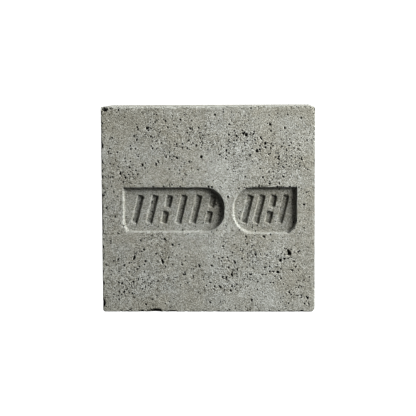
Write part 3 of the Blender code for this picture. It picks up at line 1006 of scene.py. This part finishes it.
def pinhole_group():
    """Pinholes: a dot in some cells of the spacing asked, more of them where they crowd. The material
    darkens the dots as painted shade and sinks them in its bump.
    """
    group, given, put = new_group(
        "pinholes",
        [
            ("Place", "NodeSocketVector", None),
            ("Spacing", "NodeSocketFloat", 2.0),
            ("Radius", "NodeSocketFloat", 0.4),
            ("Crowding", "NodeSocketFloat", 0.5),
        ],
        [("Hole", "NodeSocketFloat")],
    )
    cells = group.nodes.new("ShaderNodeTexVoronoi")
    cells.feature = "F1"
    group.links.new(given.outputs["Place"], cells.inputs["Vector"])
    group.links.new(one_over(group, given.outputs["Spacing"]), cells.inputs["Scale"])
    chance = group.nodes.new("ShaderNodeSeparateColor")
    group.links.new(cells.outputs["Color"], chance.inputs["Color"])
    distance = calculate(group, "MULTIPLY", cells.outputs["Distance"], given.outputs["Spacing"])
    size = calculate(group, "MULTIPLY_ADD", chance.outputs["Blue"], PINHOLE_MORE, PINHOLE_LEAST)
    radius = calculate(group, "MULTIPLY", given.outputs["Radius"], size)
    inner = calculate(group, "MULTIPLY", radius, PINHOLE_FLAT)
    dot = spread_between(group, distance, inner, radius, 1.0, 0.0)
    chosen = calculate(group, "LESS_THAN", chance.outputs["Red"], given.outputs["Crowding"])
    hole = calculate(group, "MULTIPLY", dot, chosen)
    group.links.new(hole, put.inputs["Hole"])
    return group


def use_group(tree, group, **values):
    """The group placed in a tree, its inputs set or linked by name, with _ for a space."""
    node = tree.nodes.new("ShaderNodeGroup")
    node.node_tree = group
    for name, value in values.items():
        socket = node.inputs[name.replace("_", " ")]
        if isinstance(value, (int, float)):
            socket.default_value = value
        else:
            tree.links.new(value, socket)
    return node


def attribute(tree, name):
    """The value that the mesh keeps at its vertices under this name."""
    node = tree.nodes.new("ShaderNodeAttribute")
    node.attribute_name = name
    return node.outputs["Fac"]


def concrete_material():
    """Worn grey concrete with its sand showing, patches of smooth cement skin, and pinholes. Its colour
    holds painted shade in the pinholes, the hollows and down in the panels, and a painted highlight on
    the worn lips.
    """
    material = bpy.data.materials.new("concrete_cast")
    material.use_nodes = True
    tree = material.node_tree
    shader = tree.nodes["Principled BSDF"]
    shader.inputs["Roughness"].default_value = CONCRETE_ROUGHNESS
    shader.inputs["Specular IOR Level"].default_value = CONCRETE_SPECULAR

    coordinates = tree.nodes.new("ShaderNodeTexCoord")
    in_millimetres = tree.nodes.new("ShaderNodeMapping")
    in_millimetres.inputs["Scale"].default_value = (1 / MM, 1 / MM, 1 / MM)
    tree.links.new(coordinates.outputs["Object"], in_millimetres.inputs["Vector"])
    place = in_millimetres.outputs["Vector"]

    clouds = mottle_group()
    grains = grain_group()
    pinholes = pinhole_group()
    patches = attribute(tree, "tone")
    crowded = attribute(tree, "crowding")
    hollow = attribute(tree, "hollow")
    lip = attribute(tree, "lip")
    sunk = attribute(tree, "sunk")
    worn = calculate(tree, "MINIMUM", lip, 1.0)

    broad = use_group(tree, clouds, Place=place, Cloud_Size=42, Detail=2).outputs["Tone"]
    middling = use_group(tree, clouds, Place=place, Cloud_Size=9, Detail=3).outputs["Tone"]
    speckle = use_group(tree, clouds, Place=place, Cloud_Size=0.95, Detail=2).outputs["Tone"]
    hue = use_group(tree, clouds, Place=place, Cloud_Size=14, Detail=2, Distortion=1.0).outputs["Tone"]
    sand = use_group(tree, grains, Place=place, Grain_Size=1.35).outputs
    grit = use_group(tree, grains, Place=place, Grain_Size=0.8).outputs
    coarse_holes = use_group(
        tree, pinholes, Place=place, Spacing=2.6, Radius=1.0,
        Crowding=spread_between(tree, crowded, 0, 1, *COARSE_PINHOLES),
    ).outputs["Hole"]
    fine_holes = use_group(
        tree, pinholes, Place=place, Spacing=1.7, Radius=0.7,
        Crowding=spread_between(tree, crowded, 0, 1, *FINE_PINHOLES),
    ).outputs["Hole"]
    holes = calculate(tree, "MAXIMUM", coarse_holes, fine_holes)
    holes = calculate(tree, "MULTIPLY", holes, plus_share(tree, 1.0, worn, WORN_PINHOLES))

    shade = calculate(tree, "MULTIPLY", broad, BROAD_SHARE)
    shade = plus_share(tree, shade, middling, MIDDLING_SHARE)
    shade = plus_share(tree, shade, speckle, SPECKLE_SHARE)
    shade = plus_share(tree, shade, sand["Tone"], SAND_SHARE)
    shade = plus_share(tree, shade, grit["Tone"], GRIT_SHARE)
    shade = spread_between(tree, shade, *SHADE_RANGE, soft=False)
    contrast = spread_between(tree, crowded, *CROWDED_RANGE, *CONTRAST_RANGE)
    contrast = plus_share(tree, contrast, sunk, SUNK_CONTRAST)
    contrast = plus_share(tree, contrast, worn, WORN_CONTRAST)
    from_middle = calculate(tree, "SUBTRACT", shade, 0.5)
    shade = plus_share(tree, 0.5, from_middle, contrast)

    coolness = calculate(tree, "MULTIPLY", calculate(tree, "ADD", hue, broad), CLOUD_COOLNESS)
    coolness = plus_share(tree, coolness, patches, PATCH_COOLNESS)
    # The lips' cooler hue goes with their wear and painted highlight
    coolness = plus_share(tree, coolness, lip, LIP_WEAR_AND_HIGHLIGHT_COOLNESS)
    tinted = tree.nodes.new("ShaderNodeMix")
    tinted.data_type = "RGBA"
    tinted.blend_type = "MULTIPLY"
    tinted.inputs["Factor"].default_value = 1.0
    first_colour, second_colour = [socket for socket in tinted.inputs if socket.type == "RGBA"]
    tree.links.new(colour_ramp(tree, shade, CEMENT_SHADES), first_colour)
    tree.links.new(colour_ramp(tree, coolness, CEMENT_HUES), second_colour)

    # Painted shade: darker from a hollow's brim towards its floor
    hollow_painted_shade = spread_between(tree, hollow, *HOLLOW_RANGE, *HOLLOW_PAINTED_SHADES)
    # Painted shade: the pinholes darkened nearly to black
    dark = calculate(tree, "MULTIPLY", plus_share(tree, 1.0, holes, PINHOLE_PAINTED_SHADE), hollow_painted_shade)
    # A painted highlight, together with paler wear, on the worn lips; then the patches' paler and
    # darker cement
    light = plus_share(tree, 1.0, lip, LIP_WEAR_AND_PAINTED_HIGHLIGHT)
    light = plus_share(tree, light, patches, PATCH_LIGHT)
    # Painted shade: darker the deeper down in a panel or stroke
    light = plus_share(tree, light, sunk, SUNK_PAINTED_SHADE)
    dimmed = tree.nodes.new("ShaderNodeVectorMath")
    dimmed.operation = "SCALE"
    tinted_colour = next(socket for socket in tinted.outputs if socket.type == "RGBA")
    tree.links.new(tinted_colour, dimmed.inputs[0])
    tree.links.new(calculate(tree, "MULTIPLY", dark, light), dimmed.inputs["Scale"])
    tree.links.new(dimmed.outputs[0], shader.inputs["Base Color"])

    bareness = spread_between(tree, crowded, 0, 1, *SAND_HEIGHTS)
    height = calculate(tree, "MULTIPLY", sand["Height"], bareness)
    height = plus_share(tree, height, grit["Height"], GRIT_HEIGHT)
    height = plus_share(tree, height, speckle, SPECKLE_HEIGHT)
    height = plus_share(tree, height, holes, PINHOLE_HEIGHT)
    bump = tree.nodes.new("ShaderNodeBump")
    bump.inputs["Strength"].default_value = 1.0
    bump.inputs["Distance"].default_value = BUMP_DISTANCE
    tree.links.new(height, bump.inputs["Height"])
    tree.links.new(bump.outputs["Normal"], shader.inputs["Normal"])
    return material


def place_casting():
    """The one piece, on the body of the solid that it takes the place of."""
    mesh = casting_mesh()
    casting = bpy.data.objects.new("padstone_cast", mesh)
    bpy.context.scene.collection.objects.link(casting)
    mesh.materials.append(concrete_material())
    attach(casting, "root")
    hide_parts("padstone")


# The camera stands where the photograph was taken from
CAMERA_PLACE = Vector((41.0, -1381.0, 230.7)) * MM
CAMERA_YAW = math.radians(1.77)
CAMERA_PITCH = math.radians(5.36)
CAMERA_ROLL = math.radians(-0.27)
CAMERA_LENS = 114.9
CAMERA_SENSOR = 36.0
CAMERA_NEAR = 0.05
CAMERA_FAR = 50

# The softboxes, as (name, direction from the block, distance, width, height, watts), and the weak fill
# of the air
SOFTBOXES = [
    ("key softbox", (1.75, -0.98, 0.85), 1.45, 0.95, 0.55, 44),
    ("overhead softbox", (0.35, -0.25, 1.0), 1.3, 0.9, 0.8, 10),
    ("fill behind", (-0.6, 1.0, 0.4), 1.8, 1.0, 1.0, 32),
]
FILL_COLOUR = (0.95, 0.97, 1, 1)
FILL_STRENGTH = 0.006

# The floor: how far it goes each way, its own grey, and its glow and how much of it the camera sees
FLOOR_REACH = 20.0
FLOOR_COLOUR = (0.1, 0.1, 0.1, 1)
FLOOR_GLOW = 1.08
FLOOR_GLOW_SHARE = 0.92


def place_camera():
    """The camera. From looking straight down it is rolled, tipped up until it looks down by its
    pitch alone, and turned by its yaw."""
    data = bpy.data.cameras.new("camera")
    data.lens = CAMERA_LENS
    data.sensor_width = CAMERA_SENSOR
    data.sensor_fit = "HORIZONTAL"
    data.clip_start = CAMERA_NEAR
    data.clip_end = CAMERA_FAR
    camera = bpy.data.objects.new("camera", data)
    turn = (
        Matrix.Rotation(CAMERA_YAW, 4, "Z")
        @ Matrix.Rotation(math.pi / 2 - CAMERA_PITCH, 4, "X")
        @ Matrix.Rotation(CAMERA_ROLL, 4, "Z")
    )
    camera.matrix_world = Matrix.Translation(CAMERA_PLACE) @ turn
    bpy.context.scene.collection.objects.link(camera)
    bpy.context.scene.camera = camera


def softbox(name, direction, distance, width, height, watts):
    """A rectangular studio light facing the block's middle from the direction given."""
    data = bpy.data.lights.new(name, "AREA")
    data.shape = "RECTANGLE"
    data.size = width
    data.size_y = height
    data.energy = watts
    light = bpy.data.objects.new(name, data)
    towards = Vector(direction).normalized()
    light.location = Vector(BOX_MIDDLE) + towards * distance
    light.rotation_euler = towards.to_track_quat("Z", "Y").to_euler()
    bpy.context.scene.collection.objects.link(light)


def place_lights():
    """The softboxes of the table."""
    for row in SOFTBOXES:
        softbox(*row)


def white_surround():
    """The studio's air: white to the camera, a weak grey fill to everything else."""
    world = bpy.data.worlds.new("studio")
    world.use_nodes = True
    tree = world.node_tree
    tree.nodes.clear()
    rays = tree.nodes.new("ShaderNodeLightPath")
    seen = tree.nodes.new("ShaderNodeBackground")
    seen.inputs["Color"].default_value = (1, 1, 1, 1)
    seen.inputs["Strength"].default_value = 1.0
    fill = tree.nodes.new("ShaderNodeBackground")
    fill.inputs["Color"].default_value = FILL_COLOUR
    fill.inputs["Strength"].default_value = FILL_STRENGTH
    mix = tree.nodes.new("ShaderNodeMixShader")
    output = tree.nodes.new("ShaderNodeOutputWorld")
    tree.links.new(rays.outputs["Is Camera Ray"], mix.inputs["Fac"])
    tree.links.new(fill.outputs["Background"], mix.inputs[1])
    tree.links.new(seen.outputs["Background"], mix.inputs[2])
    tree.links.new(mix.outputs["Shader"], output.inputs["Surface"])
    bpy.context.scene.world = world


def place_floor():
    """A wide pale floor that glows a little, so that it meets the white surround without a line."""
    mesh = bpy.data.meshes.new("floor")
    far = FLOOR_REACH
    level = float(BOX_LOW[UP])
    corners = [(-far, -far, level), (far, -far, level), (far, far, level), (-far, far, level)]
    mesh.from_pydata(corners, [], [(0, 1, 2, 3)])
    floor = bpy.data.objects.new("floor", mesh)
    bpy.context.scene.collection.objects.link(floor)
    material = bpy.data.materials.new("floor")
    material.use_nodes = True
    tree = material.node_tree
    tree.nodes.clear()
    rays = tree.nodes.new("ShaderNodeLightPath")
    matt = tree.nodes.new("ShaderNodeBsdfDiffuse")
    matt.inputs["Color"].default_value = FLOOR_COLOUR
    glow = tree.nodes.new("ShaderNodeEmission")
    glow.inputs["Strength"].default_value = FLOOR_GLOW
    mix = tree.nodes.new("ShaderNodeMixShader")
    share = calculate(tree, "MULTIPLY", rays.outputs["Is Camera Ray"], FLOOR_GLOW_SHARE)
    output = tree.nodes.new("ShaderNodeOutputMaterial")
    tree.links.new(share, mix.inputs["Fac"])
    tree.links.new(matt.outputs["BSDF"], mix.inputs[1])
    tree.links.new(glow.outputs["Emission"], mix.inputs[2])
    tree.links.new(mix.outputs["Shader"], output.inputs["Surface"])
    mesh.materials.append(material)


bpy.context.scene.view_settings.view_transform = "Standard"
bpy.context.scene.view_settings.look = "Medium High Contrast"
place_camera()
place_casting()
place_lights()
white_surround()
place_floor()
